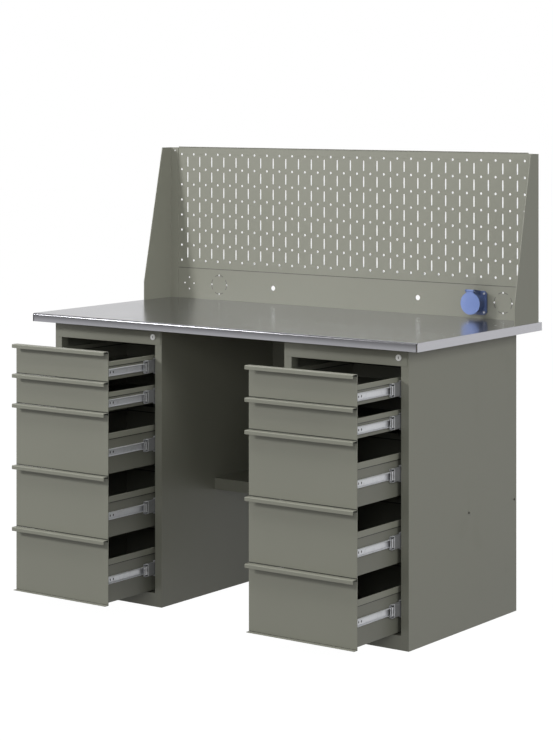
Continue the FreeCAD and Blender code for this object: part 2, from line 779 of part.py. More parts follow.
def cable_panel():
    body = new_body("cable_panel", y="screen_plane", z="worktop_height")
    plate = new_sketch(body, "YZ_Plane", "-screen_half")
    outline(plate, [
        ("0", "0"), ("foot_flange", "0"), ("foot_flange", "screen_wall"), ("screen_wall", "screen_wall"),
        ("screen_wall", "cable_panel_height"), ("0", "cable_panel_height"),
    ])
    pad(body, plate, "2 * screen_half")
    holes = new_sketch(body, "XZ_Plane", "screen_wall")
    for x in ("-cable_hole_offset", "cable_hole_offset"):
        circle(holes, x, "outlet_rise", "cable_hole")
    faceted_hole(holes, "socket_offset", "socket_rise", "(socket_rear + 2 * socket_hole_clearance)", 12)
    rings = [
        ("-cluster_offset", "cluster_circle", "0"), ("-knockout_left", "knockout_circle", "knockout_turn"),
        ("knockout_right", "knockout_circle", "knockout_turn"),
    ]
    for middle, across, turn in rings:
        for quarter in (0, 90, 180, 270):
            x = f"{middle} + {across} / 2 * cos({quarter} + {turn})"
            z = f"outlet_rise + {across} / 2 * sin({quarter} + {turn})"
            faceted_hole(holes, x, z, "small_hole", 6)
    for x, z in screw_places("socket_offset", "socket_rise"):
        faceted_hole(holes, x, z, "(screw_shank + 2 * screw_clearance)", 6)
    pocket(body, holes, "3 * screen_wall")
    return body


# Power socket with a sprung lid
def socket_body():
    body = new_body("socket_body", x="socket_offset", y="screen_plane", z="socket_height")
    flange = new_sketch(body, "XZ_Plane")
    edge, flat = "socket_flange / 2", "(socket_flange / 2 - socket_corner)"
    outline(flange, [
        (f"-{edge}", f"-{flat}"), (f"-{flat}", f"-{edge}"), (flat, f"-{edge}"), (edge, f"-{flat}"),
        (edge, flat), (flat, edge), (f"-{flat}", edge), (f"-{edge}", flat),
    ])
    pad(body, flange, "socket_flange_wall")
    collar = new_sketch(body, "XZ_Plane")
    faceted_bar(collar, "0", "0", "socket_collar", 16)
    pad(body, collar, "socket_depth")
    rear = new_sketch(body, "XZ_Plane")
    faceted_bar(rear, "0", "0", "socket_rear", 12)
    pad(body, rear, "socket_rear_depth", backwards=True)
    ear_inner = "(lid_tab_width / 2 + hinge_side_gap)"
    ear_outer = "(lid_tab_width / 2 + hinge_side_gap + hinge_ear)"
    axis_y = "(socket_depth + lid_gap + lid_wall / 2)"
    neck, nose = f"-{axis_y} + hinge_knuckle / 2", f"-{axis_y} - hinge_knuckle / 2"
    under, over = "hinge_rise - hinge_knuckle / 2", "hinge_rise + hinge_knuckle / 2"
    for low, sign in ((ear_inner, 1), (ear_outer, -1)):
        ear = new_sketch(body, "YZ_Plane", f"{sign} * {low}")
        outline(ear, [("-socket_flange_wall", "0"), (neck, "0"), (neck, under), (nose, under), (nose, over),
                      (neck, over), ("-socket_flange_wall", "socket_flange / 2")])
        pad(body, ear, "hinge_ear")
    bore = new_sketch(body, "XZ_Plane", "socket_depth")
    faceted_hole(bore, "0", "0", "socket_bore", 12)
    pocket(body, bore, "socket_bore_depth")
    contacts = new_sketch(body, "XZ_Plane", "socket_depth - socket_bore_depth")
    for x in ("-contact_pitch / 2", "contact_pitch / 2"):
        faceted_hole(contacts, x, "0", "contact_hole", 6)
    pocket(body, contacts, "contact_depth")
    pin = new_sketch(body, "YZ_Plane", "-pedestal_width")
    faceted_hole(pin, f"-{axis_y}", "hinge_rise", "hinge_pin", 8)
    pocket(body, pin, "2 * pedestal_width", backwards=True)
    screws = new_sketch(body, "XZ_Plane", "socket_flange_wall")
    for x, z in screw_places("0", "0"):
        faceted_hole(screws, x, z, "(screw_shank + 2 * screw_clearance)", 6)
    pocket(body, screws, "socket_flange_wall")
    return body


def socket_lid():
    body = new_body("socket_lid", x="socket_offset", y="lid_plane", z="socket_height")
    disc = new_sketch(body, "XZ_Plane", "lid_gap")
    faceted_bar(disc, "0", "0", "lid_diameter", 20)
    pad(body, disc, "lid_wall")
    tab = new_sketch(body, "XZ_Plane", "lid_gap")
    rectangle(tab, "-lid_tab_width / 2", "0", "lid_tab_width / 2", "hinge_rise")
    pad(body, tab, "lid_wall")
    knuckle = new_sketch(body, "YZ_Plane", "-lid_tab_width / 2")
    faceted_bar(knuckle, "-lid_gap - lid_wall / 2", "hinge_rise", "hinge_knuckle", 12)
    pad(body, knuckle, "lid_tab_width")
    bore = new_sketch(body, "YZ_Plane", "-pedestal_width")
    faceted_hole(bore, "-lid_gap - lid_wall / 2", "hinge_rise", "(hinge_pin + 2 * hinge_clearance)", 8)
    pocket(body, bore, "2 * pedestal_width", backwards=True)
    slopes = new_sketch(body, "XY_Plane", "-lid_diameter")
    front = "-(lid_gap + lid_wall)"
    fall = "lid_facet_fall * (2 * lid_diameter - lid_facet_width) / (lid_diameter - lid_facet_width)"
    for sign in (1, -1):
        far = f"{sign} * lid_diameter"
        near = f"{sign} * lid_facet_width / 2"
        outline(slopes, [(near, front), (far, front), (far, f"{front} + {fall}")])
    pocket(body, slopes, "2 * lid_diameter", backwards=True)
    return body


# Knee space: tie shelf and back panel between the pedestals
def shelf():
    body = new_body("shelf", y="front_plane", z="shelf_height - shelf_apron")
    section = new_sketch(body, "YZ_Plane", "-knee_half")
    front, back, under = "shelf_setback", "pedestal_depth", "shelf_apron - cabinet_wall"
    outline(section, [
        (front, "0"), (front, "shelf_apron"), (back, "shelf_apron"), (back, "0"),
        (f"{back} - cabinet_wall", "0"), (f"{back} - cabinet_wall", under),
        (f"{front} + cabinet_wall", under), (f"{front} + cabinet_wall", "0"),
    ])
    pad(body, section, "2 * knee_half")
    for edge in ("-knee_half", "knee_half - cabinet_wall"):
        end = new_sketch(body, "YZ_Plane", edge)
        rectangle(end, "shelf_setback", "0", "pedestal_depth", "shelf_apron")
        pad(body, end, "cabinet_wall")
    holes = new_sketch(body, "YZ_Plane", "-worktop_width")
    for along in ("shelf_setback + shelf_bolt_front", "pedestal_depth - shelf_bolt_rear"):
        faceted_hole(holes, along, "shelf_apron - shelf_bolt_drop", "bolt_hole", 6)
    pocket(body, holes, "2 * worktop_width", backwards=True)
    return body


def knee_back_panel():
    body = new_body("knee_back_panel", y="front_plane + back_panel_setback", z="shelf_height")
    section = new_sketch(body, "XY_Plane")
    inner = "knee_half - cabinet_wall"
    right = [("knee_half", "0"), ("knee_half", "back_panel_flange"), (inner, "back_panel_flange"),
             (inner, "cabinet_wall")]
    outline(section, right + mirrored(right))
    pad(body, section, "pedestal_height - shelf_height")
    return body


# Fastenings
def shelf_bolts():
    body = new_body("shelf_bolts", y="front_plane", z="shelf_height - shelf_bolt_drop")
    for sign in (1, -1):
        face = f"{sign} * (knee_half - cabinet_wall)"
        steps = [("bolt_head", "bolt_head_height", True), ("bolt_shank", "bolt_tail", False)]
        for width, length, inward in steps:
            sketch = new_sketch(body, "YZ_Plane", face)
            for along in ("shelf_setback + shelf_bolt_front", "pedestal_depth - shelf_bolt_rear"):
                faceted_bar(sketch, along, "0", width, 6)
            pad(body, sketch, length, backwards=inward == (sign > 0))
    return body


def socket_screws():
    body = new_body("socket_screws", x="socket_offset", y="screen_plane", z="socket_height")
    steps = [
        ("screw_head", "socket_flange_wall + screw_head_height", "screw_head_height"),
        ("screw_shank", "socket_flange_wall + screw_head_height / 2", "screw_tail"),
    ]
    for diameter, start, length in steps:
        sketch = new_sketch(body, "XZ_Plane", start)
        for x, z in screw_places("0", "0"):
            faceted_bar(sketch, x, z, diameter, 6)
        pad(body, sketch, length, backwards=True)
    return body


def foot_screws():
    body = new_body("foot_screws", y="screen_plane + (foot_flange + screen_wall) / 2",
                    z="worktop_height + screen_wall")
    count = int(size("foot_screw_count"))
    sketch = new_sketch(body, "XY_Plane")
    for index in range(count):
        share = index / (count - 1) * 2 - 1
        faceted_bar(sketch, f"{share} * (screen_half - foot_screw_inset)", "0", "screw_head", 6)
    pad(body, sketch, "screw_head_height")
    return body


def hinge_pin():
    body = new_body("hinge_pin", x="socket_offset", y="hinge_y", z="hinge_z")
    reach = "(lid_tab_width / 2 + hinge_side_gap + hinge_ear)"
    sketch = new_sketch(body, "YZ_Plane", f"-{reach}")
    circle(sketch, "0", "0", "hinge_pin")
    pad(body, sketch, f"2 * {reach}")
    return body


NODES = [worktop_board(), worktop_cover()]
for side, sign in SIDES:
    NODES.append(cabinet_shell(side, sign))
    NODES.append(lock_plug(side, sign))
    NODES.append(lock_bar(side, sign))
    for number, front, box, rise, hem, slide_rise in DRAWERS:
        NODES.append(drawer_front(side, sign, number, front))
        NODES.append(drawer_box(side, sign, number, box, hem))
        NODES.append(slide_inner(side, sign, number))
        NODES.append(slide_middle(side, sign, number))
NODES.append(group("cabinet_bases", [cabinet_base(*side) for side in SIDES]))
NODES.append(group("cabinet_heads", [cabinet_head(*side) for side in SIDES]))
NODES.append(group("lock_barrels", [lock_barrel(*side) for side in SIDES]))
rails = [slide_outer(side, sign, drawer[0]) for side, sign in SIDES for drawer in DRAWERS]
NODES.append(group("cabinet_rails", rails))
NODES.append(group("screen_brackets", [screen_bracket(*side) for side in SIDES]))
NODES.append(perforated_panel())
NODES.append(cable_panel())
NODES.append(socket_body())
NODES.append(socket_lid())
NODES.append(shelf())
NODES.append(knee_back_panel())
NODES.append(group("fixings", [shelf_bolts(), socket_screws(), foot_screws(), hinge_pin()]))

doc.recompute()
for item in doc.Objects:
    if "Invalid" in item.State or "Error" in item.State:
        raise RuntimeError(f"{item.Label} failed: {item.State}")
for feature in POCKETS:
    if feature.Shape.Volume >= feature.BaseFeature.Shape.Volume - 1e-6:
        raise RuntimeError(f"{feature.Label} cuts nothing")
for node in NODES:
    if node.Shape.isNull() or not node.Shape.isValid():
        raise RuntimeError(f"{node.Label} has no valid shape")

os.makedirs("parts", exist_ok=True)
for node in NODES:
    node.Shape.exportStep(f"parts/{node.Label}.step")
print(len(NODES), "nodes written")
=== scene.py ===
import json
import math
import bpy
import numpy as np
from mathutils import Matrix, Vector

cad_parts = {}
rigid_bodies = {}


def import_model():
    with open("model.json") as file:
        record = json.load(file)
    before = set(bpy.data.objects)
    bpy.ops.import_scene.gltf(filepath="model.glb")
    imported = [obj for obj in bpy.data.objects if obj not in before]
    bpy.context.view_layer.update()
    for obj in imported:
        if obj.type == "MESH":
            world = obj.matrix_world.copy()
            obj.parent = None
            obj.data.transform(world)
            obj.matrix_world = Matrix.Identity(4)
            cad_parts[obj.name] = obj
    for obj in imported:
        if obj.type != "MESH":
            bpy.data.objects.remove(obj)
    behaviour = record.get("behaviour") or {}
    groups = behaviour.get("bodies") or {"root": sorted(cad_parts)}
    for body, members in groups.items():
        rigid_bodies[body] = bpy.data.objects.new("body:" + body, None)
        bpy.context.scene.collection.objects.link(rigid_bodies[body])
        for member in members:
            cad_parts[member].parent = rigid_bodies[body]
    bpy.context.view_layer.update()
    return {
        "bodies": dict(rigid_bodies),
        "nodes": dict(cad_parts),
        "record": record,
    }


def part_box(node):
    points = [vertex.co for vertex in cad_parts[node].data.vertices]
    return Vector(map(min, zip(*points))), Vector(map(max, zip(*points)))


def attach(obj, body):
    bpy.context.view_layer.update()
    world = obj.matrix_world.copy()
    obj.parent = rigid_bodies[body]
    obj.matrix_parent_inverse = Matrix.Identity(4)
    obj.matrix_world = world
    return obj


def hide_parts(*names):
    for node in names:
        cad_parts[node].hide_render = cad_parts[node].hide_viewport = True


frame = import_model()
nodes = frame["nodes"]
mm = 0.001
print("frame loaded:", len(nodes), "nodes")


def grey(level):
    return (level, level, level, 1.0)


def tinted(color, share):
    return tuple(min(channel * share, 1.0) for channel in color) + (1.0,)


# Shader maths: a Wire is a socket, and sums on it add the Math nodes that work them out.
class Wire:
    def __init__(self, wiring, socket):
        self.wiring = wiring
        self.socket = socket

    def math(self, operation, *others):
        return self.wiring.add("ShaderNodeMath", {"operation": operation}, [self, *others])

    def __add__(self, other):
        return self.math("ADD", other)

    def __radd__(self, other):
        return self.math("ADD", other)

    def __sub__(self, other):
        return self.math("SUBTRACT", other)

    def __rsub__(self, other):
        return self.wiring.add("ShaderNodeMath", {"operation": "SUBTRACT"}, [other, self])

    def __mul__(self, other):
        return self.math("MULTIPLY", other)

    def __rmul__(self, other):
        return self.math("MULTIPLY", other)

    def __truediv__(self, other):
        return self.math("DIVIDE", other)

    def __pow__(self, other):
        return self.math("POWER", other)

    def __gt__(self, other):
        return self.math("GREATER_THAN", other)

    def __lt__(self, other):
        return self.math("LESS_THAN", other)

    # held between 0 and 1
    def clamp(self):
        return self.math("MAXIMUM", 0.0).math("MINIMUM", 1.0)

    # 0 below low, 1 above high, and smooth between them
    def ramp(self, low, high):
        return self.wiring.add("ShaderNodeMapRange", {"interpolation_type": "SMOOTHSTEP"},
                               {"Value": self, "From Min": low, "From Max": high})


# A node tree under construction: add() places any node and returns one of its outputs as a Wire.
class Wiring:
    def __init__(self, tree):
        self.tree = tree
        self.tree.nodes.clear()

    def feed(self, socket, value):
        if isinstance(value, Wire):
            self.tree.links.new(value.socket, socket)
        elif value is not None:
            socket.default_value = value

    def add(self, kind, settings=None, sockets=None, output=0):
        node = self.tree.nodes.new(kind)
        for key, value in (settings or {}).items():
            setattr(node, key, value)
        if isinstance(sockets, list):
            sockets = dict(enumerate(sockets))
        for key, value in (sockets or {}).items():
            self.feed(node.inputs[key], value)
        return Wire(self, node.outputs[output]) if node.outputs else None


# how finely rounded edges are worked out, and the turns at which wear starts and is full
edges = {"samples": 6, "turn": (0.01, 0.25)}


# A material under construction, with the patterns that the finishes share.
class Finish(Wiring):
    def __init__(self, name):
        self.material = bpy.data.materials.new(name)
        self.material.use_nodes = True
        super().__init__(self.material.node_tree)
        self.place = self.add("ShaderNodeTexCoord", output="Object")
        self.geometry = self.add("ShaderNodeNewGeometry", output="Normal")

    # noise whose grains are size metres across, or longer along an axis by its stretch; detail is how
    # many finer layers it has
    def noise(self, size, detail, stretch=(1, 1, 1)):
        scaled = [1 / (size * long) for long in stretch]
        place = self.add("ShaderNodeVectorMath", {"operation": "MULTIPLY"}, [self.place, scaled])
        return self.add("ShaderNodeTexNoise", None, {"Vector": place, "Scale": 1.0, "Detail": detail})

    def axis(self, name):
        return self.add("ShaderNodeSeparateXYZ", None, [self.place], name)

    # one of the two numbers that a piece's own UV keeps for each of its points
    def own(self, name):
        kept = self.add("ShaderNodeTexCoord", output="UV")
        return self.add("ShaderNodeSeparateXYZ", None, [kept], name)

    # a colour between two, by a factor from 0 to 1; 6, 7 and 2 are the colour sockets of Blender's Mix
    def mix(self, factor, low, high):
        return self.add("ShaderNodeMix", {"data_type": "RGBA"}, {0: factor, 6: low, 7: high}, 2)

    # a colour between two tints of one, by a factor from 0 to 1
    def vary(self, factor, color, shares):
        return self.mix(factor, tinted(color, shares[0]), tinted(color, shares[1]))

    # the normal of edges rounded over by radius
    def softEdge(self, radius):
        return self.add("ShaderNodeBevel", {"samples": edges["samples"]}, {"Radius": radius})

    # how much a rounded normal turns away from the flat one, from 0 to 1
    def turned(self, rounded):
        agree = self.add("ShaderNodeVectorMath", {"operation": "DOT_PRODUCT"},
                         [rounded, self.geometry], "Value")
        return (1 - agree).ramp(*edges["turn"])

    def bump(self, height, distance, normal=None):
        return self.add("ShaderNodeBump", None, {"Height": height, "Distance": distance, "Normal": normal})

    def surface(self, **sockets):
        named = {key.replace("_", " "): value for key, value in sockets.items()}
        shader = self.add("ShaderNodeBsdfPrincipled", None, named)
        self.add("ShaderNodeOutputMaterial", None, {"Surface": shader})
        return self.material


paint = {"color": (0.174, 0.176, 0.142), "cloud": 0.35, "cloudTones": (0.95, 1.05),
         "speck": 0.6 * mm, "speckSpan": (0.62, 0.75), "speckShare": 0.25, "speckTone": 1.25,
         "edge": 0.7 * mm, "edgeShare": 0.45, "edgeTone": 1.35, "darkTone": 0.08, "paleTone": 1.1,
         "peel": 1.1 * mm, "peelDepth": 0.02 * mm, "roughness": 0.46, "cloudRough": 0.08,
         "smudge": 0.06, "smudgeSpan": (0.55, 0.75), "smudgeRough": 0.05}


# powder coat: slight clouds of tone, pale specks, an orange-peel skin, and paler edges where the coat is
# thin; shade and light, where given, work out from the finish how much painted shade and painted highlight
# the coat takes, from 0 to 1
def paintFinish(name, shade=None, light=None):
    finish = Finish(name)
    color = paint["color"]
    clouds = finish.noise(paint["cloud"], 3)
    specks = finish.noise(paint["speck"], 1).ramp(*paint["speckSpan"])
    peel = finish.noise(paint["peel"], 2)
    smudges = finish.noise(paint["smudge"], 4, (1, 1, 2)).ramp(*paint["smudgeSpan"])
    rounded = finish.softEdge(paint["edge"])
    tone = finish.vary(clouds, color, paint["cloudTones"])
    tone = finish.mix(specks * paint["speckShare"], tone, tinted(color, paint["speckTone"]))
    tone = finish.mix(finish.turned(rounded) * paint["edgeShare"], tone, tinted(color, paint["edgeTone"]))
    if shade:
        tone = finish.mix(shade(finish), tone, tinted(color, paint["darkTone"]))
    if light:
        tone = finish.mix(light(finish), tone, tinted(color, paint["paleTone"]))
    rough = paint["roughness"] + paint["cloudRough"] * (clouds - 0.5) + paint["smudgeRough"] * smudges
    return finish.surface(Base_Color=tone, Roughness=rough,
                          Normal=finish.bump(peel, paint["peelDepth"], rounded))


# how deep the hem along a drawer box's side is folded, by the drawer's number
hems = {1: 13.5 * mm, 2: 13.5 * mm, 3: 17 * mm, 4: 17 * mm, 5: 17 * mm}
hemLook = {"gap": 2.8 * mm, "gapShade": 0.95, "below": 0.30}


# a drawer box's sides: a painted shadow as a dark line under the folded hem, and painted shade on the side
# below the hem
def boxShade(number):
    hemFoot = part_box(f"right_drawer_{number}_box")[1][2] - hems[number]

    def shade(finish):
        height = finish.axis("Z")
        # painted shadow in a band under the hem's foot, and painted shade on the side below it
        gap = (height > hemFoot - hemLook["gap"]) * (height < hemFoot)
        return (hemLook["below"] * (height < hemFoot) + hemLook["gapShade"] * gap).clamp()
    return shade


seam = {"height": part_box("cable_panel")[1][2], "half": 1.1 * mm, "shade": 0.75}


# painted shade: the dark line where the perforated sheet stands on the cable panel
def seamShade(finish):
    return seam["shade"] * ((finish.axis("Z") - seam["height"]).math("ABSOLUTE") < seam["half"])


kerfs = {"middles": (-494 * mm, 576 * mm), "rise": 50 * mm, "radius": 30.5 * mm, "half": 0.9 * mm,
         "bridge": 0.9, "shade": 0.9}


# The knock-outs' kerfs, drawn in painted shade: rings where the distance from a middle is the radius, but
# for four bridges on the diagonals, where the sine of twice the turn is near 1 or -1; the seam's painted
# shade is added too.
def kerfShade(finish):
    across, height = finish.axis("X"), finish.axis("Z")
    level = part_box("cable_panel")[0][2] + kerfs["rise"]
    dark = 0.0
    for middle in kerfs["middles"]:
        aside, above = across - middle, height - level
        far = aside * aside + above * above
        ring = (far ** 0.5 - kerfs["radius"]).math("ABSOLUTE") < kerfs["half"]
        twice = (2 * aside * above / far).math("ABSOLUTE")
        dark = ring * (twice < kerfs["bridge"]) + dark
    return (kerfs["shade"] * dark + seamShade(finish)).clamp()


# A folded front keeps in its own UV how much painted shade and painted highlight its coat takes.
def keptPaintedShade(finish):
    return finish.own("X")


def keptPaintedHighlight(finish):
    return finish.own("Y")


brushed = {"color": (0.435, 0.435, 0.46), "tones": (0.92, 1.06), "line": 0.5 * mm, "lineLength": 500,
           "lineDepth": 0.012 * mm, "band": 6 * mm, "bandLength": 80, "cloud": 0.2,
           "roughness": 0.19, "lineRough": 0.10, "cloudRough": 0.06, "edge": 0.8 * mm, "edgeShare": 0.3,
           "facing": -0.5, "foldTop": 3.2 * mm, "foldFoot": 24 * mm, "foldLeast": 0.38, "foldShade": 0.9,
           "foldTone": 0.22, "bend": 1.2 * mm, "bendTone": 0.25, "corner": 4.5 * mm, "cornerTone": 0.1}


# sheet steel brushed along X: fine long lines in the roughness, the tone and the bump; where its normal's
# Y is below facing is the front fold, painted darker from its foot up to the bend as a painted reflection;
# the bend's line and worn edges are painted dark grey, which narrows the bend's highlight, and the fold's
# corners are painted nearly black as painted shade in the corner seams
def brushedFinish(name):
    finish = Finish(name)
    color = brushed["color"]
    lines = finish.noise(brushed["line"], 2, (brushed["lineLength"], 1, 1))
    bands = finish.noise(brushed["band"], 2, (brushed["bandLength"], 1, 1))
    cloud = finish.noise(brushed["cloud"], 3)
    rounded = finish.softEdge(brushed["edge"])
    tone = finish.vary(0.5 * lines + 0.5 * bands, color, brushed["tones"])
    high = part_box("worktop_cover")[1]
    facing = finish.add("ShaderNodeSeparateXYZ", None, [finish.geometry], "Y") < brushed["facing"]
    # painted reflection: the front fold darker from its foot up to the bend
    rise = finish.axis("Z").ramp(high[2] - brushed["foldFoot"], high[2] - brushed["foldTop"])
    fold = (brushed["foldLeast"] + (1 - brushed["foldLeast"]) * rise) * facing
    tone = finish.mix(fold * brushed["foldShade"], tone, tinted(color, brushed["foldTone"]))
    # the bend's line painted dark grey to narrow its highlight, with worn edges taking the same grey
    bend = (finish.axis("Z") > high[2] - brushed["bend"]) * facing
    worn = finish.turned(rounded) * brushed["edgeShare"]
    tone = finish.mix((bend + worn).clamp(), tone, grey(brushed["bendTone"]))
    # painted shade, nearly black, at the fold's corners
    corner = (finish.axis("X").math("ABSOLUTE") > high[0] - brushed["corner"]) * facing
    tone = finish.mix(corner, tone, tinted(color, brushed["cornerTone"]))
    rough = brushed["roughness"] + brushed["lineRough"] * (lines - 0.5)
    rough = rough + brushed["cloudRough"] * (cloud - 0.5)
    return finish.surface(Base_Color=tone, Metallic=1.0, Roughness=rough,
                          Normal=finish.bump(lines, brushed["lineDepth"], rounded))


zinc = {"color": (0.60, 0.61, 0.63), "dark": (0.03, 0.03, 0.032), "metallic": 0.5, "tones": (0.85, 1.12),
        "spangle": 3 * mm, "line": 0.5 * mm, "lineLength": 120, "lineDepth": 0.01 * mm,
        "grime": 14 * mm, "grimeSpan": (0.5, 0.8), "grimeShare": 0.35, "grimeTone": 0.6,
        "edge": 0.5 * mm, "edgeShare": 0.5, "edgeGrey": 0.9,
        "roughness": 0.30, "lineRough": 0.14, "grimeRough": 0.1}
behindShade = {"start": 24 * mm, "end": 28 * mm, "tone": 0.10, "share": 0.7}


# bright zinc plate: a soft spangle, faint drawing lines along Y, grime and worn bright edges; the middle
# members' plate is painted dark behind its front end, from start to end, as painted shade where it runs into
# the pedestal
def zincFinish(name, color=zinc["color"], greased=False):
    finish = Finish(name)
    spangle = finish.noise(zinc["spangle"], 2)
    drawn = finish.noise(zinc["line"], 2, (1, zinc["lineLength"], 1))
    grime = finish.noise(zinc["grime"], 3).ramp(*zinc["grimeSpan"])
    rounded = finish.softEdge(zinc["edge"])
    tone = finish.vary(0.6 * spangle + 0.4 * drawn, color, zinc["tones"])
    tone = finish.mix(grime * zinc["grimeShare"], tone, tinted(color, zinc["grimeTone"]))
    tone = finish.mix(finish.turned(rounded) * zinc["edgeShare"], tone, grey(zinc["edgeGrey"]))
    # painted shade behind the middle members' front ends
    if greased:
        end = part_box("left_drawer_1_slides")[0][1]
        behind = finish.axis("Y").ramp(end + behindShade["start"], end + behindShade["end"])
        tone = finish.mix(behind * behindShade["share"], tone, tinted(color, behindShade["tone"]))
    rough = zinc["roughness"] + zinc["lineRough"] * drawn + zinc["grimeRough"] * grime
    return finish.surface(Base_Color=tone, Metallic=zinc["metallic"], Roughness=rough,
                          Normal=finish.bump(drawn, zinc["lineDepth"], rounded))


board = {"dark": (0.30, 0.21, 0.13, 1), "pale": (0.58, 0.45, 0.30, 1), "fibre": 1.2 * mm,
         "fibreLength": 4, "fibreDepth": 0.2 * mm, "chipsPerMetre": 260, "chipShare": 0.25,
         "roughness": 0.75, "fibreRough": 0.1}


# particle board: fibres between a dark and a pale tone, under chips of several tones
def boardFinish(name):
    finish = Finish(name)
    chips = finish.add("ShaderNodeTexVoronoi", None,
                       {"Vector": finish.place, "Scale": board["chipsPerMetre"]}, "Color")
    fibre = finish.noise(board["fibre"], 4, (board["fibreLength"], board["fibreLength"], 1))
    tone = finish.mix(fibre, board["dark"], board["pale"])
    tone = finish.mix(board["chipShare"], tone, chips)
    rough = board["roughness"] + board["fibreRough"] * fibre
    return finish.surface(Base_Color=tone, Roughness=rough, Normal=finish.bump(fibre, board["fibreDepth"]))


chrome = {"color": (0.76, 0.76, 0.75), "tones": (0.92, 1.05), "metallic": 0.5, "turning": 0.8 * mm,
          "turningDepth": 0.004 * mm, "edge": 0.3 * mm, "haze": 5 * mm, "roughness": 0.25, "hazeRough": 0.12}


# plated lock plugs: fine turning marks in the tone and the bump, and a haze in the roughness
def chromeFinish(name):
    finish = Finish(name)
    turning = finish.noise(chrome["turning"], 2)
    haze = finish.noise(chrome["haze"], 2)
    tone = finish.vary(turning, chrome["color"], chrome["tones"])
    normal = finish.bump(turning, chrome["turningDepth"], finish.softEdge(chrome["edge"]))
    return finish.surface(Base_Color=tone, Metallic=chrome["metallic"],
                          Roughness=chrome["roughness"] + chrome["hazeRough"] * haze, Normal=normal)


plastic = {"body": (0.062, 0.092, 0.20), "lid": (0.124, 0.181, 0.385), "flow": 18 * mm,
           "flowTones": (0.94, 1.06), "grain": 0.35 * mm, "grainDepth": 0.01 * mm,
           "edge": 0.5 * mm, "edgeShare": 0.5, "edgeTone": 1.45,
           "roughness": 0.34, "flowRough": 0.08, "grainRough": 0.06}


# moulded plastic: fine spark-eroded grain, slight flow clouds and rubbed edges
def plasticFinish(name, color):
    finish = Finish(name)
    grain = finish.noise(plastic["grain"], 2)
    flow = finish.noise(plastic["flow"], 3)
    rounded = finish.softEdge(plastic["edge"])
    rubbed = finish.turned(rounded) * plastic["edgeShare"]
    tone = finish.vary(flow, color, plastic["flowTones"])
    tone = finish.mix(rubbed, tone, tinted(color, plastic["edgeTone"]))
    rough = plastic["roughness"] + plastic["flowRough"] * (flow - 0.5) + plastic["grainRough"] * grain
    return finish.surface(Base_Color=tone, Roughness=rough,
                          Normal=finish.bump(grain, plastic["grainDepth"], rounded))


finishes = {
    "paint": paintFinish("greyGreenPaint"),
    "worktop_steel": brushedFinish("brushedSheet"),
    "board": boardFinish("particleBoard"),
    "zinc": zincFinish("zincPlate"),
    "dark_steel": zincFinish("darkSteel", zinc["dark"]),
    "greased_zinc": zincFinish("greasedZinc", greased=True),
    "kerfed_paint": paintFinish("kerfedPaint", kerfShade),
    "seamed_paint": paintFinish("seamedPaint", seamShade),
    "front_paint": paintFinish("frontPaint", keptPaintedShade, keptPaintedHighlight),
    "lock_chrome": chromeFinish("lockChrome"),
    "socket_body_plastic": plasticFinish("socketBlue", plastic["body"]),
    "socket_lid_plastic": plasticFinish("lidBlue", plastic["lid"]),
}
for number in hems:
    finishes[f"box_paint_{number}"] = paintFinish(f"boxPaint{number}", boxShade(number))
# the record's slot for a finish that the record doesn't name
slotOf = {part["node"]: part["material_slot"] for part in frame["record"]["subparts"]}
slotOf["cable_panel"] = "kerfed_paint"
for name in slotOf:
    if name.endswith("_box"):
        slotOf[name] = "box_paint_" + name.split("_")[2]
for name, node in nodes.items():
    node.data.materials.clear()
    node.data.materials.append(finishes[slotOf[name]])
print("finishes made:", len(finishes))


# A mesh from arrays of points and faces, which rides on a body and stands for the nodes named; kept, where
# given, is two numbers for each point, which go into the piece's own UV.
def makePiece(name, points, faces, slot, body, stands=(), kept=None):
    mesh = bpy.data.meshes.new(name)
    mesh.from_pydata(points.tolist(), [], faces.tolist())
    mesh.update()
    if kept is not None:
        corners = np.zeros(len(mesh.loops), dtype=int)
        mesh.loops.foreach_get("vertex_index", corners)
        mesh.uv_layers.new(name="coat").data.foreach_set("uv", kept[corners].ravel())
    piece = bpy.data.objects.new(name, mesh)
    bpy.context.scene.collection.objects.link(piece)
    mesh.materials.append(finishes[slot])
    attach(piece, body)
    if stands:
        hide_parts(*stands)
    return piece


# the quads of a grid of points with the given rows and columns, closed round its columns
def gridFaces(rows, columns):
    row, column = np.meshgrid(np.arange(rows - 1), np.arange(columns), indexing="ij")
    after = (column + 1) % columns
    corners = [row * columns + column, row * columns + after,
               (row + 1) * columns + after, (row + 1) * columns + column]
    return np.stack(corners, -1).reshape(-1, 4)


digits = 9  # an angle or a sine is rounded to this, so that equal ones compare equal
tiny = 1e-9  # stands in for a ray's zero part in a division


# The turns at which rays leave a cell's middle: to its corners, its sides' middles and halfway between.
def cellTurns(halfWidth, halfHeight):
    corner = math.atan2(halfHeight, halfWidth)
    quarter = np.array([0, corner / 2, corner, (corner + math.pi / 2) / 2, math.pi / 2])
    turns = np.concatenate([quarter, math.pi - quarter, math.pi + quarter, 2 * math.pi - quarter])
    return np.unique(np.round(turns % (2 * math.pi), digits))


# points round a slot with round ends: a circle whose upper and lower halves are moved apart
def slotRing(width, length, turns):
    rise = np.sign(np.round(np.sin(turns), digits)) * (length - width) / 2
    return np.stack([width / 2 * np.cos(turns), width / 2 * np.sin(turns) + rise], -1)


# points round a rectangle where rays at those turns leave it: each ray's reach is the nearer side's
def boxRing(halfWidth, halfHeight, turns):
    ray = np.stack([np.cos(turns), np.sin(turns)], -1)
    reach = np.minimum(halfWidth / np.maximum(abs(ray[:, 0]), tiny),
                       halfHeight / np.maximum(abs(ray[:, 1]), tiny))
    return ray * reach[:, None]


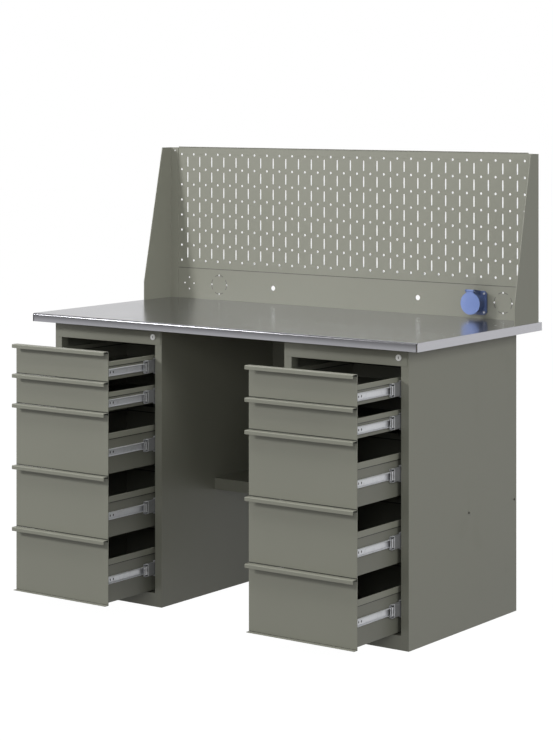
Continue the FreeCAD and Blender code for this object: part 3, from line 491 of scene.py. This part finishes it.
# A sheet is cut into cells, each a ring of quads from its hole to its edge. A cell's ring is carried
# from the front hole edge out and back again behind, so that walls and both faces are one grid.
def holedCells(centres, hole, cell, wall, aside=0.0):
    turns = cellTurns(*cell)
    ring = slotRing(*hole, turns) + np.array([aside, 0])
    edge = boxRing(*cell, turns)
    loops = [(edge, 0.0), (ring, 0.0), (ring, wall), (edge, wall)]
    points = np.concatenate([np.stack([loop[:, 0], np.full(len(loop), depth), loop[:, 1]], -1)
                             for loop, depth in loops])
    centres = np.asarray(centres)
    shift = np.stack([centres[:, 0], np.zeros(len(centres)), centres[:, 1]], -1)
    faces = gridFaces(len(loops), len(turns))
    faces = (faces[None] + (np.arange(len(centres)) * len(points))[:, None, None]).reshape(-1, 4)
    return (points[None] + shift[:, None]).reshape(-1, 3), faces


# one array of points and one of faces from several, each one's faces counted on from those before it
def joinParts(parts):
    points = np.concatenate([part[0] for part in parts])
    starts = np.cumsum([0] + [len(part[0]) for part in parts[:-1]])
    return points, np.concatenate([part[1] + start for part, start in zip(parts, starts)])


# a flat box of sheet from low to high corner
def slab(low, high):
    x, y, z = zip(low, high)
    points = np.array([[x[i], y[j], z[k]] for i in (0, 1) for j in (0, 1) for k in (0, 1)])
    faces = np.array([[0, 1, 3, 2], [4, 6, 7, 5], [0, 4, 5, 1],
                      [2, 3, 7, 6], [0, 2, 6, 4], [1, 5, 7, 3]])
    return points, faces


# A strip of sheet along x: its section is a line in y and z, thickened to one side by its normals.
def bentStrip(line, wall, start, stop):
    line = np.asarray(line)
    along = np.gradient(line, axis=0)
    normal = np.stack([-along[:, 1], along[:, 0]], -1) / np.linalg.norm(along, axis=1)[:, None]
    loop = np.concatenate([line, (line + wall * normal)[::-1]])
    count = len(loop)
    points = np.concatenate([np.column_stack([np.full(count, end), loop]) for end in (start, stop)])
    index = np.arange(count // 2 - 1)
    cap = np.stack([index, index + 1, count - 2 - index, count - 1 - index], -1)
    return points, np.concatenate([gridFaces(2, count), cap[:, ::-1], cap + count])


panel = {"pitch": 50 * mm, "columns": 27, "rows": 8, "hole": 7.4 * mm, "slotWidth": 5.0 * mm,
         "slotLength": 33 * mm, "wall": 1.2 * mm, "split": 0.4 * mm, "fold": 1.5 * mm, "foldInset": 33 * mm,
         "shortfall": 3 * mm, "cornerHole": 6 * mm, "cornerInset": 11 * mm, "cornerDrop": 13 * mm}


# Columns of round holes take turns with columns of slots half a pitch higher, which plain sheet closes
# above and below; a margin at each end holds the corner's bolt hole, and the top edge is folded forwards.
def perforatedPanel():
    low, high = (np.array(corner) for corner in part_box("perforated_panel"))
    pitch, wall, foot = panel["pitch"], panel["wall"], low[2] - panel["split"]
    columns = (np.arange(panel["columns"]) - (panel["columns"] - 1) / 2) * pitch
    rows = low[2] + pitch / 2 - panel["split"] + np.arange(panel["rows"]) * pitch
    between = columns[:-1] + pitch / 2
    cell = (pitch / 4, pitch / 2)
    holes = np.stack(np.meshgrid(columns, rows), -1).reshape(-1, 2)
    slots = np.stack(np.meshgrid(between, rows[:-1] + pitch / 2), -1).reshape(-1, 2)
    parts = [holedCells(holes, (panel["hole"], panel["hole"]), cell, wall),
             holedCells(slots, (panel["slotWidth"], panel["slotLength"]), cell, wall)]
    for column in between:
        for bottom, ceiling in ((foot, rows[0]), (rows[-1], high[2])):
            parts.append(slab((column - cell[0], 0, bottom), (column + cell[0], wall, ceiling)))
    margin = columns[-1] + cell[0]
    middle, halfWidth = (margin + high[0]) / 2, (high[0] - margin) / 2
    halfHeight = panel["cornerDrop"] - panel["shortfall"]
    height = high[2] - panel["cornerDrop"]
    bolt = (panel["cornerHole"], panel["cornerHole"])
    for sign in (-1, 1):
        aside = sign * (high[0] - panel["cornerInset"] - middle)
        parts.append(holedCells([[sign * middle, height]], bolt, (halfWidth, halfHeight), wall, aside))
        start, stop = sorted((sign * margin, sign * high[0]))
        parts.append(slab((start, 0, foot), (stop, wall, height - halfHeight)))
    reach = high[0] - panel["foldInset"]
    parts.append(slab((-reach, -panel["fold"], high[2] - wall), (reach, 0, high[2])))
    points, faces = joinParts(parts)
    points[:, 1] += high[1] - wall
    return makePiece("perforatedPanel", points, faces, "seamed_paint", "bench", ["perforated_panel"])


perforatedPanel()
print("panel made")

# Slide members. Each is built lying along x, from its front end, with its depth in y, and then turned.
runner = {"wall": 1.2 * mm, "lipWall": 0.84 * mm, "reach": 7.7 * mm, "holes": (14.5 * mm, 28 * mm),
          "hole": (5 * mm, 7 * mm), "cell": 3.5 * mm, "bulge": 1.0 * mm, "bulgeSteps": 7, "sunk": 0.15 * mm}
# webBend and lipBend hold how far in, and how far down, each point of a rounded corner lies
middle = {"wall": 1.2 * mm, "lipWall": 0.84 * mm, "reach": 8.5 * mm, "lip": 11.3 * mm,
          "webBend": ((1.2 * mm, 0.3 * mm), (3 * mm, 0)),
          "lipBend": ((2 * mm, 0), (0.4 * mm, 0.6 * mm), (0, 2.5 * mm)),
          "start": 6 * mm, "lipStart": 8 * mm, "slots": (4.5 * mm, 15 * mm), "slot": (5 * mm, 24 * mm),
          "cell": 3.5 * mm, "notch": 4.5 * mm, "stopHalf": 13 * mm, "stopWall": 2.1 * mm, "sunk": 0.25 * mm}


# both members of a pair: the one built, moved to its place, and its mirror image about the drawer's middle
def slidePair(name, node, slot, body, parts, stands=()):
    low, high = (np.array(corner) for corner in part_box(node))
    centre, half = (low + high) / 2, (high[0] - low[0]) / 2
    points, faces = joinParts(parts)
    placed = []
    for sign in (1, -1):
        turned = np.column_stack([centre[0] + sign * (half - points[:, 1]), low[1] + points[:, 0],
                                  centre[2] + points[:, 2]])
        placed.append((turned, faces[:, ::sign]))
    return makePiece(name, *joinParts(placed), slot, body, stands)


# the runner on the drawer: a web with two screw holes at its front, and lips that bulge round the balls
# as half an ellipse, a third of a wall higher than the bulge
def runnerParts(length, half):
    wall, reach = runner["wall"], runner["reach"]
    flat = half - wall - runner["bulge"]
    cell = (runner["cell"], flat)
    parts = [holedCells([[place, 0] for place in runner["holes"]], runner["hole"], cell, wall)]
    ends = [end for place in runner["holes"] for end in (place - cell[0], place + cell[0])]
    for start, stop in ((0.0, ends[0]), (ends[1], ends[2]), (ends[3], length)):
        parts.append(slab((start, 0, -flat), (stop, wall, flat)))
    for points, faces in parts:
        points[:, 1] += reach - wall
    bend = np.linspace(0, math.pi, runner["bulgeSteps"])
    race = np.column_stack([reach / 2 + (reach / 2 - wall / 2) * np.cos(bend),
                            flat + (runner["bulge"] + wall / 3) * np.sin(bend)])
    parts.append(bentStrip(race[::-1], runner["lipWall"], 0.0, length))
    parts.append(bentStrip(race * [1, -1], runner["lipWall"], 0.0, length))
    return parts


# dark screw heads just inside the runner's two holes
def screwParts():
    width, height = runner["hole"]
    face = runner["reach"] - runner["wall"] + runner["sunk"]
    return [slab((place - width / 2, face, -height / 2),
                 (place + width / 2, face + runner["wall"], height / 2)) for place in runner["holes"]]


# the middle member: its web ends in a rim, two tall slots and cut corners, and its lips fold back
def middleParts(length, half):
    wall, start, reach = middle["wall"], middle["start"], middle["reach"]
    flat = half - wall
    cell = (middle["cell"], flat - middle["notch"])
    slots = [start + place for place in middle["slots"]]
    parts = [slab((start, 0, -cell[1]), (slots[0] - cell[0], wall, cell[1])),
             holedCells([[place, 0] for place in slots], middle["slot"], cell, wall),
             slab((slots[0] + cell[0], 0, -cell[1]), (slots[1] - cell[0], wall, cell[1])),
             slab((slots[1] + cell[0], 0, -flat), (length, wall, flat))]
    web = [(0.0, flat)] + [(across, half - down) for across, down in middle["webBend"]]
    fold = [(reach - across, half - down) for across, down in middle["lipBend"]]
    lip = np.array(web + fold + [(reach, middle["lip"])])
    parts.append(bentStrip(lip[::-1], -middle["lipWall"], start + middle["lipStart"], length))
    parts.append(bentStrip(lip * [1, -1], -middle["lipWall"], start + middle["lipStart"], length))
    return parts


# the ball cage's dark end, which fills the slots: partly the cage's own dark, partly painted shade for what
# shows through them
def stopParts():
    tall = middle["stopHalf"]
    first, last = (middle["start"] + place for place in middle["slots"])
    reach = middle["slot"][0] / 2
    return [slab((first - reach, middle["sunk"], -tall), (last + reach, middle["stopWall"], tall))]


for body in [body for body in frame["bodies"] if body.endswith("_middle_slides")]:
    drawer = body.removesuffix("_middle_slides")
    runners, slides = f"{drawer}_runners", f"{drawer}_slides"
    low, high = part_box(runners)
    parts = runnerParts(high[1] - low[1], (high[2] - low[2]) / 2)
    slidePair(f"{drawer}_runnerPair", runners, "zinc", drawer, parts, [runners])
    slidePair(f"{drawer}_screwHeads", runners, "dark_steel", drawer, screwParts())
    low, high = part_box(slides)
    parts = middleParts(high[1] - low[1], (high[2] - low[2]) / 2)
    slidePair(f"{drawer}_middlePair", slides, "greased_zinc", body, parts, [slides])
    slidePair(f"{drawer}_ballStops", slides, "dark_steel", body, stopParts())
print("slides made")

# Drawer fronts, each one folded sheet; a front reaches down a little, so that no light shows over the next.
front = {"wall": 1.2 * mm, "drop": 11 * mm, "bend": 1.6 * mm, "bendSteps": 4, "darkTurn": 1.0,
         "return": 2.5 * mm, "toe": 13 * mm, "lowered": 1.1 * mm, "foot": 2.2 * mm, "blur": 0.5 * mm,
         "hollow": 6 * mm}
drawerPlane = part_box("left_drawer_1_box")[0][1] - front["wall"]


# The section goes up the back, over the lip, round a quarter circle and down its face. With it come how
# much painted shade and painted highlight the coat takes at each point of the strip's loop: a painted
# highlight on the bend's outside, and painted shade inside it, as a shadow line along the foot and in the
# lip's hollow, as far round the bend as darkTurn, in radians.
def frontSection(height, reach, foot):
    bend, blur, hollow = front["bend"], front["blur"], height - front["hollow"]
    rows = np.array([(foot, 1), (foot + front["foot"], 1), (foot + front["foot"] + blur, 0),
                     (hollow - blur, 0), (hollow, 1), (height, 1)])
    back = np.column_stack([np.full(len(rows), front["wall"]), rows[:, 0]])
    turns = np.linspace(0, math.pi / 2, front["bendSteps"])
    arc = np.column_stack([bend - reach - bend * np.sin(turns), height - bend + bend * np.cos(turns)])
    face = np.array([(-reach, height - bend - blur), (-reach, height - front["drop"])])
    dark = np.concatenate([rows[:, 1], turns < front["darkTurn"], np.zeros(len(face))])
    pale = np.concatenate([np.zeros(len(rows)), np.ones(len(turns)), np.zeros(len(face))])
    none = np.zeros(len(dark))
    shades = np.concatenate([np.column_stack([none, pale]), np.column_stack([dark, none])[::-1]])
    return np.concatenate([back, arc, face]), shades


# the section carried across the drawer, with a return behind each side; the lowest front has a toe too
def drawerFront(drawer):
    low, high = (np.array(corner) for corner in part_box(f"{drawer}_front"))
    wall, height = front["wall"], high[2] - low[2]
    lowest = drawer.endswith("5")
    foot = 0.0 if lowest else -front["lowered"]
    line, shades = frontSection(height, drawerPlane - low[1], foot)
    parts = [bentStrip(line, wall, low[0], high[0])]
    for start, stop in ((low[0], low[0] + wall), (high[0] - wall, high[0])):
        parts.append(slab((start, wall, foot), (stop, front["return"], height - wall)))
    if lowest:
        parts.append(slab((low[0], -front["toe"], 0), (high[0], 0, wall)))
    points, faces = joinParts(parts)
    kept = np.concatenate([shades, shades, np.zeros((len(points) - 2 * len(shades), 2))])
    points = points + np.array([0, drawerPlane, low[2]])
    return makePiece(f"{drawer}_sheet", points, faces, "front_paint", drawer, [f"{drawer}_front"], kept)


for node in [node for node in nodes if node.endswith("_front")]:
    drawerFront(node.removesuffix("_front"))
print("fronts made")

keyway = {"half": (1.1 * mm, 3.4 * mm), "proud": 0.1 * mm, "wall": 1 * mm}


# a dark slab just proud of each lock plug's face, upright about the joint's axis: painted shade standing for
# the keyway's slit
def keySlit(joint):
    across, along = keyway["half"]
    plug = joint["child"]
    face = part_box(plug)[0][1] - keyway["proud"]
    middle, height = joint["pos_m"][0], joint["pos_m"][2]
    points, faces = slab((middle - across, face, height - along),
                         (middle + across, face + keyway["wall"], height + along))
    return makePiece(f"{plug}_slit", points, faces, "dark_steel", plug)


for joint in frame["record"]["behaviour"]["joints"]:
    if joint["name"].endswith("_lock_turn"):
        keySlit(joint)
print("key slits made")


# Stage: a pale floor and backdrop, soft boxes above, at the front left and right, behind and at the right
# side, and the camera
stage = {"floor": 0.2, "floorSize": 40, "white": 1.17, "shadowShare": 0.15, "world": 0.17, "gloss": 0.8}


# The floor takes a shadow, but the camera and reflections see it nearly as plain white.
def makeFloor():
    finish = Finish("paleFloor")
    plain = finish.add("ShaderNodeBsdfDiffuse", None, {"Color": grey(stage["floor"])})
    bright = finish.add("ShaderNodeEmission", None, {"Color": grey(1.0), "Strength": stage["white"]})
    seen = 0.0
    for ray in ("Camera", "Glossy", "Transmission"):
        seen = finish.add("ShaderNodeLightPath", output=f"Is {ray} Ray") + seen
    share = seen.clamp() * (1 - stage["shadowShare"])
    mixed = finish.add("ShaderNodeMixShader", None, [share, plain, bright])
    finish.add("ShaderNodeOutputMaterial", None, {"Surface": mixed})
    bpy.ops.mesh.primitive_plane_add(size=stage["floorSize"])
    floor = bpy.context.object
    floor.name = "floor"
    floor.data.materials.append(finish.material)


# The world lights the part a little; the camera sees plain white, and a reflection sees it less bright.
def makeWorld():
    world = bpy.data.worlds.new("studio")
    bpy.context.scene.world = world
    world.use_nodes = True
    wiring = Wiring(world.node_tree)
    shown = wiring.add("ShaderNodeBackground", None, {"Color": grey(1.0), "Strength": stage["world"]})
    for strength, ray in ((stage["gloss"], "Is Glossy Ray"), (1.0, "Is Camera Ray")):
        backdrop = wiring.add("ShaderNodeBackground", None, {"Color": grey(1.0), "Strength": strength})
        seen = wiring.add("ShaderNodeLightPath", output=ray)
        shown = wiring.add("ShaderNodeMixShader", None, [seen, shown, backdrop])
    wiring.add("ShaderNodeOutputWorld", None, {"Surface": shown})


# each lamp's place, the point it faces, its width and height, all in metres, and its power in watts
lamps = {"above": ((0.1, -1.2, 3.8), (0, -0.2, 0.6), (2.6, 1.4), 80),
         "key": ((-4.0, -4.2, 3.3), (0, -0.2, 0.6), (1.2, 0.9), 250),
         "front": ((2.8, -4.6, 2.0), (0, 0, 0.6), (2.4, 1.6), 60),
         "back": ((-1.8, 4.4, 2.8), (0, 0.3, 0.7), (2.6, 1.6), 60),
         "rightSide": ((4.4, -0.6, 2.6), (0.3, 0, 0.7), (2.4, 2.0), 88)}


# a lamp faces down its own -Z: tilted by the angle between its aim and straight down, and turned about Z
def softBox(name, place, target, size, power):
    light = bpy.data.lights.new(name, "AREA")
    light.shape = "RECTANGLE"
    light.size, light.size_y = size
    light.energy = power
    lamp = bpy.data.objects.new(name, light)
    lamp.location = place
    aim = np.array(target) - np.array(place)
    lamp.rotation_euler = (math.acos(-aim[2] / np.linalg.norm(aim)), 0, math.atan2(-aim[0], aim[1]))
    bpy.context.scene.collection.objects.link(lamp)


# place in metres, turn in degrees, and the rest but the sensor in the photograph's pixels
camera = {"place": (3.8577, -5.2069, 1.5206), "turn": 35.8725, "focal": 2173.3, "horizon": 95.02,
          "aside": 12.61, "height": 741, "sensor": 36.0}


# the camera looks level, and its shift puts the horizon as high as the photograph has it
def makeCamera():
    data = bpy.data.cameras.new("camera")
    data.sensor_width = camera["sensor"]
    data.lens = camera["focal"] / camera["height"] * camera["sensor"]
    data.shift_x = -camera["aside"] / camera["height"]
    data.shift_y = (camera["horizon"] - camera["height"] / 2) / camera["height"]
    view = bpy.data.objects.new("camera", data)
    view.location = camera["place"]
    view.rotation_euler = (math.pi / 2, 0, math.radians(camera["turn"]))
    bpy.context.scene.collection.objects.link(view)
    bpy.context.scene.camera = view


makeFloor()
makeWorld()
for name, lamp in lamps.items():
    softBox(name, *lamp)
makeCamera()
bpy.context.scene.view_settings.view_transform = "Standard"
print("stage set")
